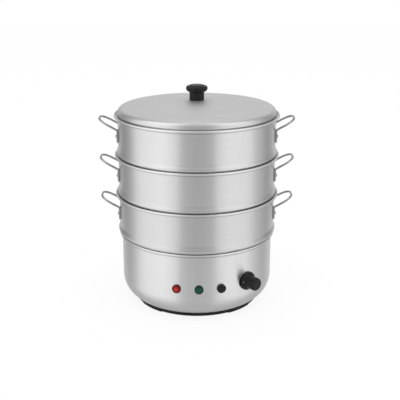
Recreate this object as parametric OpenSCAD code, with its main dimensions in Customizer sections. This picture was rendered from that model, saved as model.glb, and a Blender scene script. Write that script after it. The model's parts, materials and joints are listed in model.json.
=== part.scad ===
// Electric dumpling steamer: heated base, three stacked tiers and a lid.
// Z is up, the ground is z = 0, the stack's axis is the Z axis and the controls face -Y.

/* [Tiers] */
// Outer diameter of a tier's wall
tier_d = 356; // [330:1:380]
// Height that each tier adds to the stack
tier_pitch = 90; // [80:0.1:120]
// Thickness of the spun aluminium sheet
sheet_t = 1.5; // [1:0.1:2]
// How far the rounded foot of a tier swells out past its wall
foot_swell = 3.5; // [2:0.5:4]
// Radius of the rounded foot
foot_bead_r = 8.5; // [6:0.5:9]
// Radius of the cove between the wall and the foot
cove_r = 10; // [6:0.5:14]
// How far the rolled rim of a tier steps out past its wall
rim_step = 8.5; // [7.5:0.25:9.5]
// Diameter of the rolled bead on a rim
rim_bead_d = 4.5; // [4:0.1:5]
// Height of the rolled bead above the ledge inside it
rim_lip_h = 2; // [1.5:0.1:2.5]
// Width of the foot's flange, which carries the steam plate, in from the wall
plate_seat_w = 15; // [11:0.5:28]
// Turn of the loose tiers on the base
stack_turn = -1.2; // [-20:0.1:20]

/* [Steam plates] */
// Gap between a steam plate and the rounded foot round it
plate_gap = 0.5; // [0.5:0.5:4]
// Thickness of a steam plate
plate_t = 1.5; // [1:0.1:2]
// Diameter of the steam holes
steam_hole_d = 8; // [5:0.5:12]
// Plain margin between the outer steam holes and the flange
steam_margin = 28; // [28:1:43]
// Number of rings of steam holes
steam_rings = 5; // [3:1:5]

/* [Handles] */
// Diameter of the handle wire
handle_wire_d = 4.8; // [4:0.1:6]
// Distance between the two legs of a handle
handle_legs = 66; // [60:1:90]
// Reach of a handle from the wall
handle_reach = 42.5; // [40:0.5:60]
// Upward tilt of a handle
handle_tilt = 29; // [15:1:35]
// Radius of the handle's two bends
handle_bend_r = 26; // [15:1:28]
// Drop from the ledge to the top of a strap
strap_drop = 30.5; // [22:0.5:34]
// Length of a flattened handle end
strap_len = 29; // [24:1:34]
// Width of a flattened handle end
strap_w = 11; // [9:0.5:14]
// Thickness of a flattened handle end
strap_t = 3.4; // [2.5:0.1:4]
// Diameter of a rivet's shank
rivet_d = 5; // [4:0.1:6]
// Diameter of a rivet's head
rivet_head_d = 9.6; // [8:0.1:11]
// Height of a rivet's outer head
rivet_head_h = 2.8; // [2:0.1:4]

/* [Lid] */
// How far the lid's rounded edge reaches past the tier's wall
lid_over = 3; // [1:0.5:4]
// Radius of the lid's edge above its widest place
lid_edge_r = 7; // [5:0.5:10]
// Radius of the lid's edge below its widest place
lid_hem_r = 4; // [3:0.1:5]
// Height of the top of the lid's widest place above its seat
lid_wide_z = 7.6; // [7:0.1:12]
// Height of the lid's crown above its seat
lid_rise = 31.5; // [28:0.5:44]
// Width of the lid's turned-in hem
lid_hem_w = 10; // [9:0.5:16]
// Diameter of the lid knob's head
lid_knob_d = 48.5; // [42:0.5:60]
// Diameter of the lid knob's neck
lid_neck_d = 33; // [24:1:36]
// Height of the lid knob
lid_knob_h = 33.5; // [30:0.5:44]
// Height of the lid knob's head
lid_head_h = 15.5; // [14.5:0.5:20]
// Diameter of the lid screw
lid_screw_d = 5; // [4:0.5:6]
// Length of the lid screw
lid_screw_len = 24; // [16:1:26]

/* [Base] */
// Height of the base, from the ground to its rim
base_h = 161; // [153:1:190]
// How far the base's wall stands in from the wall of a tier
base_inset = 4.5; // [3.5:0.5:9]
// Radius of the base's round lower corner
base_corner_r = 52; // [50:1:53]
// Height at which the lower corner starts
base_corner_z = 56; // [54:1:58]
// How far the base's rolled rim steps out past its wall
base_rim_step = 5.5; // [5.5:0.25:6.5]
// Diameter of the rolled bead on the base's rim
base_bead_d = 4; // [3.6:0.1:4.4]
// Reach of the flange at the bottom of the base shell, in from the wall
base_flange_in = 47.5; // [45.5:0.5:55.5]
// Height of the feet below the cover
foot_h = 2; // [2:0.1:6]
// How far the edge of the bottom cover stands in from the base's wall
cover_in = 29.5; // [28:0.25:30]
// Height of the bottom cover
cover_h = 6; // [5.5:0.1:7]
// Thickness of the bottom cover's floor
cover_t = 2.5; // [2:0.1:3]
// Turn of the feet from the diagonals
feet_turn = -3.5; // [-15:0.5:15]
// Arc that each foot takes on the cover's edge
foot_arc = 26; // [16:1:40]
// Radial width of a foot
foot_w = 22; // [14:1:26]
// Distance of the cover screws from the cover's edge
cover_screw_in = 11; // [10:0.5:12]
// Diameter of a cover screw
cover_screw_d = 4; // [3:0.5:4]

/* [Water pan and heater] */
// How far the wall of the water pan stands in from the base's wall
pan_in = 8.5; // [7.5:0.5:9.5]
// Height of the water pan's underside above the ground
pan_floor_z = 110; // [106:1:120]
// Thickness of the water pan
pan_t = 1.2; // [1:0.1:1.3]
// Radius of the water pan's corner
pan_corner_r = 12; // [8:0.5:20]
// Diameter of the heat spreader
spreader_d = 224; // [214:1:240]
// Thickness of the heat spreader
spreader_t = 8; // [6:0.5:9]
// Diameter of the ring that the heating element makes
element_ring_d = 170; // [150:1:190]
// Diameter of the heating element's tube
element_d = 8; // [6:0.5:8]
// Arc of the heating element
element_arc = 300; // [280:1:310]

/* [Controls] */
// Height of the row of lamps above the ground
lamp_z = 79; // [72:0.5:82]
// Angle between neighbours in the row of lamps
lamp_step = 16.4; // [12:0.1:18]
// Diameter of a lamp lens and of the reset bezel
lamp_d = 20; // [19:0.1:23]
// Height of a lamp lens
lens_h = 5; // [4:0.1:8]
// Diameter of a lamp's neck
lamp_neck_d = 13.5; // [12:0.1:14]
// Diameter of the reset button
reset_d = 12; // [10:0.1:12.5]
// Diameter of the reset housing's neck
reset_neck_d = 16; // [15:0.1:17]
// Travel of the reset button
reset_travel = 3; // [2:0.1:4]
// Height of the control knob's axis above the ground
knob_z = 83.5; // [82:0.5:86]
// Angle of the control knob from the front
knob_angle = 38.5; // [36:0.5:48]
// Diameter of the control knob's skirt
knob_skirt_d = 42; // [38:0.5:46]
// Thickness of the control knob's skirt
knob_skirt_h = 8; // [7:0.5:10]
// Diameter of the control knob's grip
knob_grip_d = 29; // [24:0.5:32]
// Height of the control knob
knob_h = 31; // [26:0.5:36]
// Diameter of the regulator's shaft
shaft_d = 6; // [5:0.1:7]
// Diameter of the regulator's bush
bush_d = 10; // [9.5:0.1:11]
// Height of the cord gland's axis above the ground
gland_z = 70; // [64:1:84]
// Diameter of the cord gland's head
gland_d = 22; // [20:0.5:26]
// Diameter of the hole for the cord
cord_hole_d = 8.4; // [6:0.1:9]

/* [Clearances] */
// Gap between a lifted-off piece and its seat
seat_gap = 0.3; // [0.2:0.05:0.4]
// Gap round a shank, neck or bush in its hole
hole_gap = 0.2; // [0.1:0.05:0.3]
// Radial gap of a turning shaft or sliding button
running_gap = 0.08; // [0.04:0.01:0.1]
// Gap between a flat piece and the round wall it sits on
wall_gap = 0.1; // [0.05:0.05:0.2]

/* [Hidden] */
$fn = 96;

// Tier profile, measured from the tier's own underside
tier_r = tier_d / 2;
foot_c = tier_r + foot_swell - foot_bead_r;
cove_dx = tier_r + cove_r - foot_c;
cove_dz = sqrt(pow(foot_bead_r + cove_r, 2) - pow(cove_dx, 2));
cove_angle = atan2(cove_dz, cove_dx);
cove_z = foot_bead_r + cove_dz;
rim_bead_r = rim_bead_d / 2;
rim_bead_c = tier_r + rim_step - rim_bead_r;
rim_bend_r = 0.5;
mouth_bend_r = rim_bend_r + sheet_t;
seat_reach = foot_bead_r + mouth_bend_r + seat_gap;
seat_rise = sqrt(pow(seat_reach, 2) - pow(tier_r + rim_bend_r - foot_c, 2)) - foot_bead_r - mouth_bend_r;
ledge_z = tier_pitch - seat_rise;
tier_count = 3;
plate_seat_r = tier_r - plate_seat_w;
plate_d = 2 * (foot_c - plate_gap);
steam_ring_step = (plate_seat_r - steam_margin) / steam_rings;
function tier_z(i) = base_h + seat_gap + i * tier_pitch;

// Handles
strap_top = ledge_z - strap_drop;
strap_r = tier_r + wall_gap;
wire_r = handle_wire_d / 2;
leg_r = strap_r + wire_r;
leg_angle = asin(handle_legs / 2 / leg_r);
leg_x = leg_r * cos(leg_angle);
handle_run = (tier_r + handle_reach - wire_r - leg_x) / cos(handle_tilt);
rivet_z = strap_top - strap_len * 0.48;
rivet_inner_h = 1.4;

// Lid, measured from the lid's own seat
lid_z = tier_z(tier_count - 1) + ledge_z + seat_gap;
lid_r = tier_r + lid_over;
lid_mouth_r = lid_r - lid_hem_w;
lid_edge_c = lid_r - lid_edge_r;
lid_hem_c = lid_r - lid_hem_r;
crown_drop = lid_rise - lid_wide_z;
edge_lap = 3;
crown_r = (pow(lid_edge_c, 2) + pow(crown_drop, 2) - pow(lid_edge_r, 2)) / (2 * (crown_drop - lid_edge_r));
lid_pad_d = 0.62 * lid_knob_d;
washer_d = 16;
washer_t = 1;
lid_screw_head_d = 9;
lid_screw_head_h = 3;

// Base
base_r = tier_r - base_inset;
cover_z = foot_h + cover_h;
corner_c = base_r - base_corner_r;
base_bead_r = base_bead_d / 2;
base_bead_c = base_r + base_rim_step - base_bead_r;
base_flange_r = base_r - base_flange_in;
cover_d = 2 * (base_r - cover_in);
cover_screw_r = cover_d / 2 - cover_screw_in;
base_ledge_z = base_h - pan_t;
pan_r = base_r - pan_in;
pan_flange_gap = 0.2;
pan_flange_r = base_bead_c - base_bead_r - pan_flange_gap;
element_r = element_d / 2;
element_z = pan_floor_z - spreader_t;
element_leg = 20;
element_pin_d = 3.2;
element_pin_len = 9;
screw_head_d = 8;
screw_head_h = 2.4;
screw_angles = [0, 90, 180, 270];
foot_angles = [45, 135, 225, 315];

// Controls, each built on the wall at -Y with its axis along Y
neck_len = 24;
nut_h = 4;
nut_inset = 0.5;
lamp_rim_d = 17;
lamp_rim_h = 1.2;
lens_flange_h = 2;
reset_bezel_h = 3.5;
reset_proud = 1.8;
reset_len = 15;
reset_box = [24, 22, 20];
reset_box_depth = 20;
knob_gap = 1;
regulator_d = 44;
regulator_h = 30;
regulator_depth = 7;
bush_proud = 6.5;
bush_nut_d = 17;
bush_nut_h = 3;
shaft_depth = 18;
shaft_end = 20;
gland_head_h = 9;
gland_neck_d = 16;
tab_w = 6;
tab_t = 0.8;
tab_len = 8;
lamp_tab_x = 3.5;
reset_tab_x = 6;
regulator_tab_x = 10;

// Sensor bulb under the heat spreader
bulb_d = 6;
bulb_len = 60;
bulb_y = 40;
bulb_x = 10;
clip_w = 12;
clip_l = 14;
clip_slot = 0.8 * bulb_d;
bulb_z = element_z - bulb_d / 2 - wall_gap;
tube_d = 1.8;

// Terminal block and earth stud
block = [46, 18, 16];
block_in = 52;
block_y = cover_d / 2 - block_in;
earth_r = base_flange_r + 9;
earth_angle = 155;
earth_d = 5;
earth_len = 14;
earth_nut_d = 9;
earth_nut_h = 4;
earth_tag_t = 1;
earth_tag_d = 11;
earth_tag_z = cover_z + sheet_t + earth_nut_h + 0.2;

// Leads
wire_d = 2.4;
lead_gap = 0.2;
lead_run = 12;
lead_low = 24;
lead_high = 48;
element_half_gap = (360 - element_arc) / 2;
pin_z = element_z - element_leg - element_pin_len - lead_gap;
pole_step = block[0] / 3;
pole_z = foot_h + cover_t + block[2] / 2;
lamp_back = base_r - neck_len - tab_len - lead_gap;
reset_back = base_r - reset_box_depth - reset_box[1] - tab_len - lead_gap;
regulator_back = base_r - regulator_depth - regulator_h - tab_len - lead_gap;

// Part of a flat ring between two angles
module arc_band(x, z, r_in, r_out, a0, a1) {
  steps = ceil((a1 - a0) / 60);
  far = 2 * r_out;
  wedge = [for (i = [0:steps]) far * [cos(a0 + (a1 - a0) * i / steps), sin(a0 + (a1 - a0) * i / steps)]];
  translate([x, z]) intersection() {
    difference() {
      circle(r_out);
      if (r_in > 0) circle(r_in);
    }
    polygon(concat([[0, 0]], wedge));
  }
}

// Rectangle between two corners
module block2d(x0, z0, x1, z1) {
  translate([x0, z0]) square([x1 - x0, z1 - z0]);
}

// Cylinder along -Y between two depths, counted outwards from the axis
module spindle(r0, r1, d) {
  translate([0, -r0, 0]) rotate([90, 0, 0]) cylinder(h = r1 - r0, d = d);
}

// Turned piece along -Y: the profile's second axis runs outwards from r0
module turned_out(r0) {
  translate([0, -r0, 0]) rotate([90, 0, 0]) rotate_extrude() children();
}

// Hexagon nut along -Y with a round hole
module hex_nut(r0, h, d, bore) {
  difference() {
    translate([0, -r0, 0]) rotate([90, 0, 0]) cylinder(h = h, d = d, $fn = 6);
    spindle(r0 - 1, r0 + h + 1, bore);
  }
}

// Place on the base's wall: angle from the front, height
module on_wall(angle, z) {
  rotate([0, 0, angle]) translate([0, 0, z]) children();
}

// Round rod between two points
module rod(from, to, d) {
  run = to - from;
  translate(from)
    rotate([0, atan2(norm([run[0], run[1]]), run[2]), atan2(run[1], run[0])])
      cylinder(h = norm(run), d = d, $fn = 24);
}

// Round wire through a list of points
module wire(points, d) {
  for (i = [0:len(points) - 2]) rod(points[i], points[i + 1], d);
  for (i = [1:len(points) - 2]) bend(points[i - 1], points[i], points[i + 1], 1.2 * d);
}

// Rounded bend of a lead, turned to the plane of its two runs
module bend(from, at, to, d) {
  u = (from - at) / norm(from - at);
  v = (to - at) / norm(to - at);
  side = cross(u, v) / norm(cross(u, v));
  away = -(u + v) / norm(u + v);
  lift = cross(side, away);
  multmatrix([
    [away[0], lift[0], side[0], at[0]],
    [away[1], lift[1], side[1], at[1]],
    [away[2], lift[2], side[2], at[2]],
    [0, 0, 0, 1]
  ]) sphere(d = d, $fn = 24);
}

// Point at an angle from the front, a radius and a height
function polar(angle, r, z) = [r * sin(angle), -r * cos(angle), z];

// The same, moved sideways to a tab
function tab_end(angle, r, z, side) = polar(angle, r, z) + side * [cos(angle), sin(angle), 0];

// Base

module base_profile() {
  inner_corner = base_corner_r - sheet_t;
  bend_c = base_ledge_z - sheet_t - rim_bend_r;
  intersection() {
    arc_band(corner_c, base_corner_z, inner_corner, base_corner_r, -90, 0);
    block2d(0, cover_z, base_r, base_corner_z);
  }
  flange_r = corner_c + sqrt(pow(inner_corner, 2) - pow(base_corner_z - cover_z - sheet_t, 2));
  block2d(base_flange_r, cover_z, flange_r, cover_z + sheet_t);
  block2d(base_r - sheet_t, base_corner_z, base_r, bend_c);
  arc_band(base_r + rim_bend_r, bend_c, rim_bend_r, rim_bend_r + sheet_t, 90, 180);
  block2d(base_r + rim_bend_r, base_ledge_z - sheet_t, base_bead_c, base_ledge_z);
  translate([base_bead_c, base_h - base_bead_r]) circle(base_bead_r);
}

module base_shell() {
  color("silver") difference() {
    rotate_extrude() base_profile();
    for (i = [-1, 0]) on_wall(i * lamp_step, lamp_z)
      spindle(base_r - 8, base_r + 4, lamp_neck_d + 2 * hole_gap);
    on_wall(lamp_step, lamp_z) spindle(base_r - 8, base_r + 4, reset_neck_d + 2 * hole_gap);
    on_wall(knob_angle, knob_z) spindle(base_r - 8, base_r + 4, bush_d + 2 * hole_gap);
    on_wall(180, gland_z) spindle(base_r - 8, base_r + 4, gland_neck_d + 2 * hole_gap);
    for (a = screw_angles) rotate([0, 0, a]) translate([cover_screw_r, 0, cover_z - 1])
      cylinder(h = sheet_t + 2, d = cover_screw_d + 2 * hole_gap);
    translate(polar(earth_angle, earth_r, cover_z - 1))
      cylinder(h = sheet_t + 2, d = earth_d + 2 * hole_gap);
  }
}

module water_pan() {
  color("gainsboro") rotate_extrude() {
    block2d(0, pan_floor_z, pan_r - pan_corner_r, pan_floor_z + pan_t);
    arc_band(pan_r - pan_corner_r, pan_floor_z + pan_corner_r, pan_corner_r - pan_t, pan_corner_r, -90, 0);
    block2d(pan_r - pan_t, pan_floor_z + pan_corner_r, pan_r, base_h);
    block2d(pan_r - pan_t, base_ledge_z, pan_flange_r, base_h);
  }
}

module heat_spreader() {
  color("darkgray") difference() {
    translate([0, 0, pan_floor_z - spreader_t]) cylinder(h = spreader_t, d = spreader_d);
    translate([0, 0, element_z]) rotate_extrude()
      translate([element_ring_d / 2, 0]) circle(element_r + wall_gap);
  }
}

module heating_element() {
  half_gap = element_half_gap;
  color("dimgray") {
    translate([0, 0, element_z]) rotate([0, 0, 90 + half_gap]) rotate_extrude(angle = element_arc)
      translate([element_ring_d / 2, 0]) circle(element_r);
    for (s = [-1, 1]) rotate([0, 0, 90 + s * half_gap]) translate([element_ring_d / 2, 0, element_z]) {
      translate([0, 0, -element_leg]) cylinder(h = element_leg - wall_gap, r = element_r + 0.8);
      translate([0, 0, -element_leg - element_pin_len])
        cylinder(h = element_pin_len + 1, d = element_pin_d);
    }
  }
}

module bulb_clip() {
  clip_h = bulb_d + 4;
  color("lightgray") difference() {
    translate([bulb_x - clip_l / 2, bulb_y - clip_w / 2, element_z - clip_h])
      cube([clip_l, clip_w, clip_h]);
    translate([bulb_x - clip_l, bulb_y, bulb_z]) rotate([0, 90, 0])
      cylinder(h = 2 * clip_l, d = bulb_d + 2 * wall_gap);
    translate([bulb_x - clip_l, bulb_y - clip_slot / 2, bulb_z]) cube([2 * clip_l, clip_slot, bulb_d]);
  }
}

module sensor_bulb() {
  color("peru") translate([bulb_x - bulb_len / 2, bulb_y, bulb_z]) rotate([0, 90, 0])
    cylinder(h = bulb_len, d = bulb_d);
}

module capillary_tube() {
  end_x = bulb_x + bulb_len / 2;
  back = base_r - regulator_depth - regulator_h - wall_gap;
  color("peru") wire([
    [end_x + wall_gap, bulb_y, bulb_z],
    [end_x + 12, bulb_y - 0.5, bulb_z - 0.5],
    polar(knob_angle, back - 20, knob_z),
    polar(knob_angle, back, knob_z)
  ], tube_d);
}

module bottom_cover() {
  color([0.08, 0.08, 0.08]) difference() {
    union() {
      translate([0, 0, foot_h]) cylinder(h = cover_t, d = cover_d);
      translate([0, 0, foot_h]) difference() {
        cylinder(h = cover_h, d = cover_d);
        translate([0, 0, cover_t / 2]) cylinder(h = cover_h, d = cover_d - 5);
      }
      for (a = screw_angles) rotate([0, 0, a]) translate([cover_screw_r, 0, foot_h])
        cylinder(h = cover_h, d = screw_head_d + 4);
    }
    for (a = screw_angles) rotate([0, 0, a]) translate([cover_screw_r, 0, 0]) {
      cylinder(h = cover_z + 1, d = cover_screw_d + 2 * hole_gap);
      cylinder(h = foot_h + screw_head_h, d = screw_head_d + 2 * hole_gap);
    }
  }
}

module feet() {
  color([0.05, 0.05, 0.05]) for (a = foot_angles) rotate([0, 0, a + feet_turn - foot_arc / 2])
    rotate_extrude(angle = foot_arc) block2d(cover_d / 2 - foot_w, 0, cover_d / 2 - 0.5, foot_h);
}

module cover_screws() {
  color("gray") for (a = screw_angles) rotate([0, 0, a]) translate([cover_screw_r, 0, foot_h]) {
    cylinder(h = screw_head_h, d = screw_head_d);
    cylinder(h = cover_h + sheet_t + 4, d = cover_screw_d);
  }
}

// Controls

module lamp_lens(angle, tint) {
  dome_h = lens_h - lens_flange_h;
  dome_r = (pow(lamp_d / 2, 2) + pow(dome_h, 2)) / (2 * dome_h);
  color(tint) on_wall(angle, lamp_z) turned_out(base_r + wall_gap) difference() {
    union() {
      block2d(0, 0, lamp_d / 2, lens_flange_h);
      intersection() {
        translate([0, lens_h - dome_r]) circle(dome_r);
        block2d(0, lens_flange_h, lamp_d / 2, lens_h);
      }
    }
    block2d(-1, -1, lamp_rim_d / 2 + hole_gap, lamp_rim_h + hole_gap);
  }
}

module red_lens() { lamp_lens(-lamp_step, "red"); }

module green_lens() { lamp_lens(0, "green"); }

module lamp_body(angle) {
  color([0.15, 0.15, 0.15]) on_wall(angle, lamp_z) {
    spindle(base_r + wall_gap, base_r + wall_gap + lamp_rim_h, lamp_rim_d);
    spindle(base_r - neck_len, base_r + wall_gap + lamp_rim_h / 2, lamp_neck_d);
    for (s = [-1, 1]) translate([s * lamp_tab_x - tab_t / 2, -base_r + neck_len, -tab_w / 2])
          cube([tab_t, tab_len, tab_w]);
  }
}

module red_lamp_body() { lamp_body(-lamp_step); }

module green_lamp_body() { lamp_body(0); }

module wall_nut(angle, z, d, bore) {
  on_wall(angle, z) hex_nut(base_r - sheet_t - nut_inset - nut_h, nut_h, d, bore + 2 * running_gap);
}

module lamp_nuts() {
  color("gainsboro") for (i = [-1, 0]) wall_nut(i * lamp_step, lamp_z, lamp_neck_d + 6, lamp_neck_d);
}

module reset_housing() {
  bezel_r = base_r + wall_gap;
  bore_end = bezel_r + reset_bezel_h + reset_proud - reset_len - reset_travel - 0.5;
  color([0.06, 0.06, 0.06]) on_wall(lamp_step, lamp_z) difference() {
    union() {
      spindle(bezel_r, bezel_r + reset_bezel_h, lamp_d);
      spindle(base_r - reset_box_depth, bezel_r + 1, reset_neck_d);
      translate([-reset_box[0] / 2, -base_r + reset_box_depth, -reset_box[2] / 2]) cube(reset_box);
      for (s = [-1, 1])
        translate([s * reset_tab_x - tab_t / 2, -base_r + reset_box_depth + reset_box[1], -tab_w / 2])
        cube([tab_t, tab_len, tab_w]);
    }
    spindle(bore_end, bezel_r + reset_bezel_h + 1, reset_d + 2 * running_gap);
  }
}

module reset_button() {
  front = base_r + wall_gap + reset_bezel_h + reset_proud;
  edge_r = 1;
  color([0.1, 0.1, 0.1]) on_wall(lamp_step, lamp_z) turned_out(front - reset_len) {
    block2d(0, 0, reset_d / 2, reset_len - edge_r);
    block2d(0, 0, reset_d / 2 - edge_r, reset_len);
    translate([reset_d / 2 - edge_r, reset_len - edge_r]) circle(edge_r, $fn = 32);
  }
}

module reset_nut() {
  color("gainsboro") wall_nut(lamp_step, lamp_z, reset_neck_d + 6, reset_neck_d);
}

module regulator() {
  back = base_r - regulator_depth - regulator_h;
  color("lightgray") on_wall(knob_angle, knob_z) difference() {
    union() {
      spindle(back, base_r - regulator_depth, regulator_d);
      spindle(back + 1, base_r + bush_proud, bush_d);
      for (s = [-1, 1]) translate([s * regulator_tab_x - tab_t / 2, -back, -tab_w / 2])
        cube([tab_t, tab_len, tab_w]);
    }
    spindle(base_r - shaft_end, base_r + bush_proud + 1, shaft_d + 2 * running_gap);
  }
}

module regulator_nut() {
  color("gainsboro") on_wall(knob_angle, knob_z)
    hex_nut(base_r + wall_gap, bush_nut_h, bush_nut_d, bush_d + 2 * running_gap);
}

module knob_shaft() {
  color("darkgray") on_wall(knob_angle, knob_z)
    spindle(base_r - shaft_depth, base_r + knob_gap + knob_h - 6, shaft_d);
}

module control_knob() {
  back = base_r + knob_gap;
  edge_h = 0.45 * knob_skirt_h;
  skirt_r = knob_skirt_d / 2;
  tip_r = 4;
  grip_r = knob_grip_d / 2;
  pocket_h = bush_proud - knob_gap + 1.2;
  color([0.07, 0.07, 0.07]) on_wall(knob_angle, knob_z) difference() {
    turned_out(back) {
      polygon([[0, 0], [skirt_r - 0.8, 0], [skirt_r, 0.8], [skirt_r, edge_h - 1], [skirt_r - 0.4, edge_h],
        [skirt_r - 1.4, edge_h + 0.8], [grip_r + 1.5, knob_skirt_h + 0.6], [grip_r, knob_skirt_h + 2],
        [0, knob_skirt_h + 2]]);
      block2d(0, 0, grip_r, knob_h - tip_r);
      block2d(0, 0, grip_r - tip_r, knob_h);
      translate([grip_r - tip_r, knob_h - tip_r]) circle(tip_r, $fn = 48);
    }
    spindle(back - 1, back + pocket_h, bush_nut_d + 2);
    spindle(back - 1, back + knob_h - 6 + wall_gap, shaft_d + 2 * running_gap);
  }
}

module cord_gland() {
  head_r = base_r + wall_gap;
  color([0.06, 0.06, 0.06]) on_wall(180, gland_z) difference() {
    union() {
      turned_out(head_r) {
        block2d(0, 0, gland_d / 2, gland_head_h - 3);
        block2d(0, 0, gland_d / 2 - 3, gland_head_h);
        translate([gland_d / 2 - 3, gland_head_h - 3]) circle(3, $fn = 48);
      }
      spindle(base_r - neck_len, head_r + 1, gland_neck_d);
    }
    spindle(base_r - neck_len - 1, head_r + gland_head_h + 1, cord_hole_d);
  }
}

module gland_nut() {
  color([0.06, 0.06, 0.06]) wall_nut(180, gland_z, gland_neck_d + 6, gland_neck_d);
}

module terminal_block() {
  color("ivory") translate([-block[0] / 2, block_y - block[1] / 2, foot_h + cover_t]) difference() {
    cube(block);
    for (i = [0:2]) translate([pole_step * (i + 0.5), -1, block[2] / 2]) rotate([-90, 0, 0])
      cylinder(h = block[1] + 2, d = wire_d + 1);
  }
}

module earth_stud() {
  base_z = cover_z + sheet_t;
  color("goldenrod") translate(polar(earth_angle, earth_r, 0)) {
    translate([0, 0, cover_z]) cylinder(h = earth_len + sheet_t, d = earth_d);
    translate([0, 0, base_z]) cylinder(h = earth_nut_h, d = earth_nut_d, $fn = 6);
  }
}

// Leads inside the base, each running straight out of its tab, pin or pole

module live_lead() {
  color("saddlebrown") wire([
    [-pole_step, block_y - block[1] / 2 + 4, pole_z],
    [-pole_step, block_y - block[1] / 2 - 6, pole_z],
    [-8, -40, lead_low],
    tab_end(lamp_step, reset_back - lead_run, lamp_z, -reset_tab_x),
    tab_end(lamp_step, reset_back, lamp_z, -reset_tab_x)
  ], wire_d);
}

module switched_lead() {
  color("saddlebrown") wire([
    tab_end(lamp_step, reset_back, lamp_z, reset_tab_x),
    tab_end(lamp_step, reset_back - lead_run, lamp_z, reset_tab_x),
    polar(26, 94, lead_high),
    tab_end(knob_angle, regulator_back - lead_run, knob_z, -regulator_tab_x),
    tab_end(knob_angle, regulator_back, knob_z, -regulator_tab_x)
  ], wire_d);
}

module element_lead() {
  pin = polar(180 - element_half_gap, element_ring_d / 2, pin_z);
  color("saddlebrown") wire([
    tab_end(knob_angle, regulator_back, knob_z, regulator_tab_x),
    tab_end(knob_angle, regulator_back - lead_run, knob_z, regulator_tab_x),
    [80, 0, lead_high],
    pin - [0, 0, lead_run],
    pin
  ], wire_d);
}

module neutral_lead() {
  pin = polar(180 + element_half_gap, element_ring_d / 2, pin_z);
  color("steelblue") wire([
    [pole_step, block_y - block[1] / 2 + 4, pole_z],
    [pole_step, block_y - block[1] / 2 - 6, pole_z],
    [-10, 62, lead_low + 10],
    pin - [0, 0, lead_run],
    pin
  ], wire_d);
}

module lamp_link() {
  link_r = lamp_back - wire_d / 2;
  color("steelblue")
    rod(tab_end(-lamp_step, link_r, lamp_z, lamp_tab_x), tab_end(0, link_r, lamp_z, -lamp_tab_x), wire_d);
}

module green_lamp_lead() {
  color("steelblue") wire([
    [0, block_y - block[1] / 2 + 4, pole_z],
    [0, block_y - block[1] / 2 - 6, pole_z],
    [12, -50, lead_high],
    tab_end(0, lamp_back - lead_run, lamp_z, lamp_tab_x),
    tab_end(0, lamp_back, lamp_z, lamp_tab_x)
  ], wire_d);
}

module red_lamp_lead() {
  color("saddlebrown") wire([
    tab_end(-lamp_step, lamp_back, lamp_z, -lamp_tab_x),
    tab_end(-lamp_step, lamp_back - lead_run, lamp_z, -lamp_tab_x),
    [-74, 20, lead_low],
    [-block[0] / 2 - 20, block_y + block[1] / 2, lead_low],
    [-pole_step, block_y + block[1] / 2 + lead_run, pole_z],
    [-pole_step, block_y + block[1] / 2 - 4, pole_z]
  ], wire_d);
}

module earth_tag() {
  color("gainsboro") translate(polar(earth_angle, earth_r, earth_tag_z)) difference() {
    cylinder(h = earth_tag_t, d = earth_tag_d);
    translate([0, 0, -1]) cylinder(h = earth_tag_t + 2, d = earth_d + 2 * hole_gap);
  }
}

module earth_lead() {
  tag = polar(earth_angle, earth_r, earth_tag_z + wire_d / 2);
  pole = [0, block_y + block[1] / 2 + wire_d / 2 + lead_gap, pole_z];
  run = (pole - tag) / norm(pole - tag);
  color("yellowgreen") rod(tag + (earth_tag_d / 2 + lead_gap) * run, pole, wire_d);
}

// Tiers

module tier_profile() {
  bend_c = ledge_z - sheet_t - rim_bend_r;
  block2d(plate_seat_r, 0, foot_c, sheet_t);
  arc_band(foot_c, foot_bead_r, foot_bead_r - sheet_t, foot_bead_r, -90, cove_angle);
  arc_band(tier_r + cove_r, cove_z, cove_r, cove_r + sheet_t, 180, 180 + cove_angle);
  block2d(tier_r - sheet_t, cove_z, tier_r, bend_c);
  arc_band(tier_r + rim_bend_r, bend_c, rim_bend_r, rim_bend_r + sheet_t, 90, 180);
  block2d(tier_r + rim_bend_r, ledge_z - sheet_t, rim_bead_c, ledge_z);
  translate([rim_bead_c, ledge_z + rim_lip_h - rim_bead_r]) circle(rim_bead_r);
}

// Place of a tier: its seat's height and the stack's turn
module tier_place(i) {
  translate([0, 0, tier_z(i)]) rotate([0, 0, stack_turn]) children();
}

// The four straps: a side and a leg each
module strap_places() {
  for (side = [0, 180], s = [-1, 1]) rotate([0, 0, side + s * leg_angle]) children();
}

module tier_ring(i) {
  color("silver") tier_place(i) difference() {
    rotate_extrude() tier_profile();
    strap_places() translate([tier_r - 6, 0, rivet_z]) rotate([0, 90, 0])
      cylinder(h = 12, d = rivet_d + 2 * hole_gap);
  }
}

module tier_plate(i) {
  color("gainsboro") tier_place(i) translate([0, 0, sheet_t]) linear_extrude(plate_t) difference() {
    circle(d = plate_d);
    circle(d = steam_hole_d);
    for (ring = [1:steam_rings], k = [0:6 * ring - 1]) rotate(k * 60 / ring)
      translate([ring * steam_ring_step, 0]) circle(d = steam_hole_d);
  }
}

// Flattened end of a handle, with its rivet hole
module strap() {
  half_w = strap_w / 2;
  difference() {
    translate([strap_r, 0, strap_top]) rotate([0, 90, 0]) linear_extrude(strap_t) {
      translate([0, -half_w]) square([strap_len - half_w, strap_w]);
      translate([strap_len - half_w, 0]) circle(half_w);
    }
    translate([tier_r - 1, 0, rivet_z]) rotate([0, 90, 0])
      cylinder(h = strap_t + 3, d = rivet_d + 2 * hole_gap);
  }
}

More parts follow.
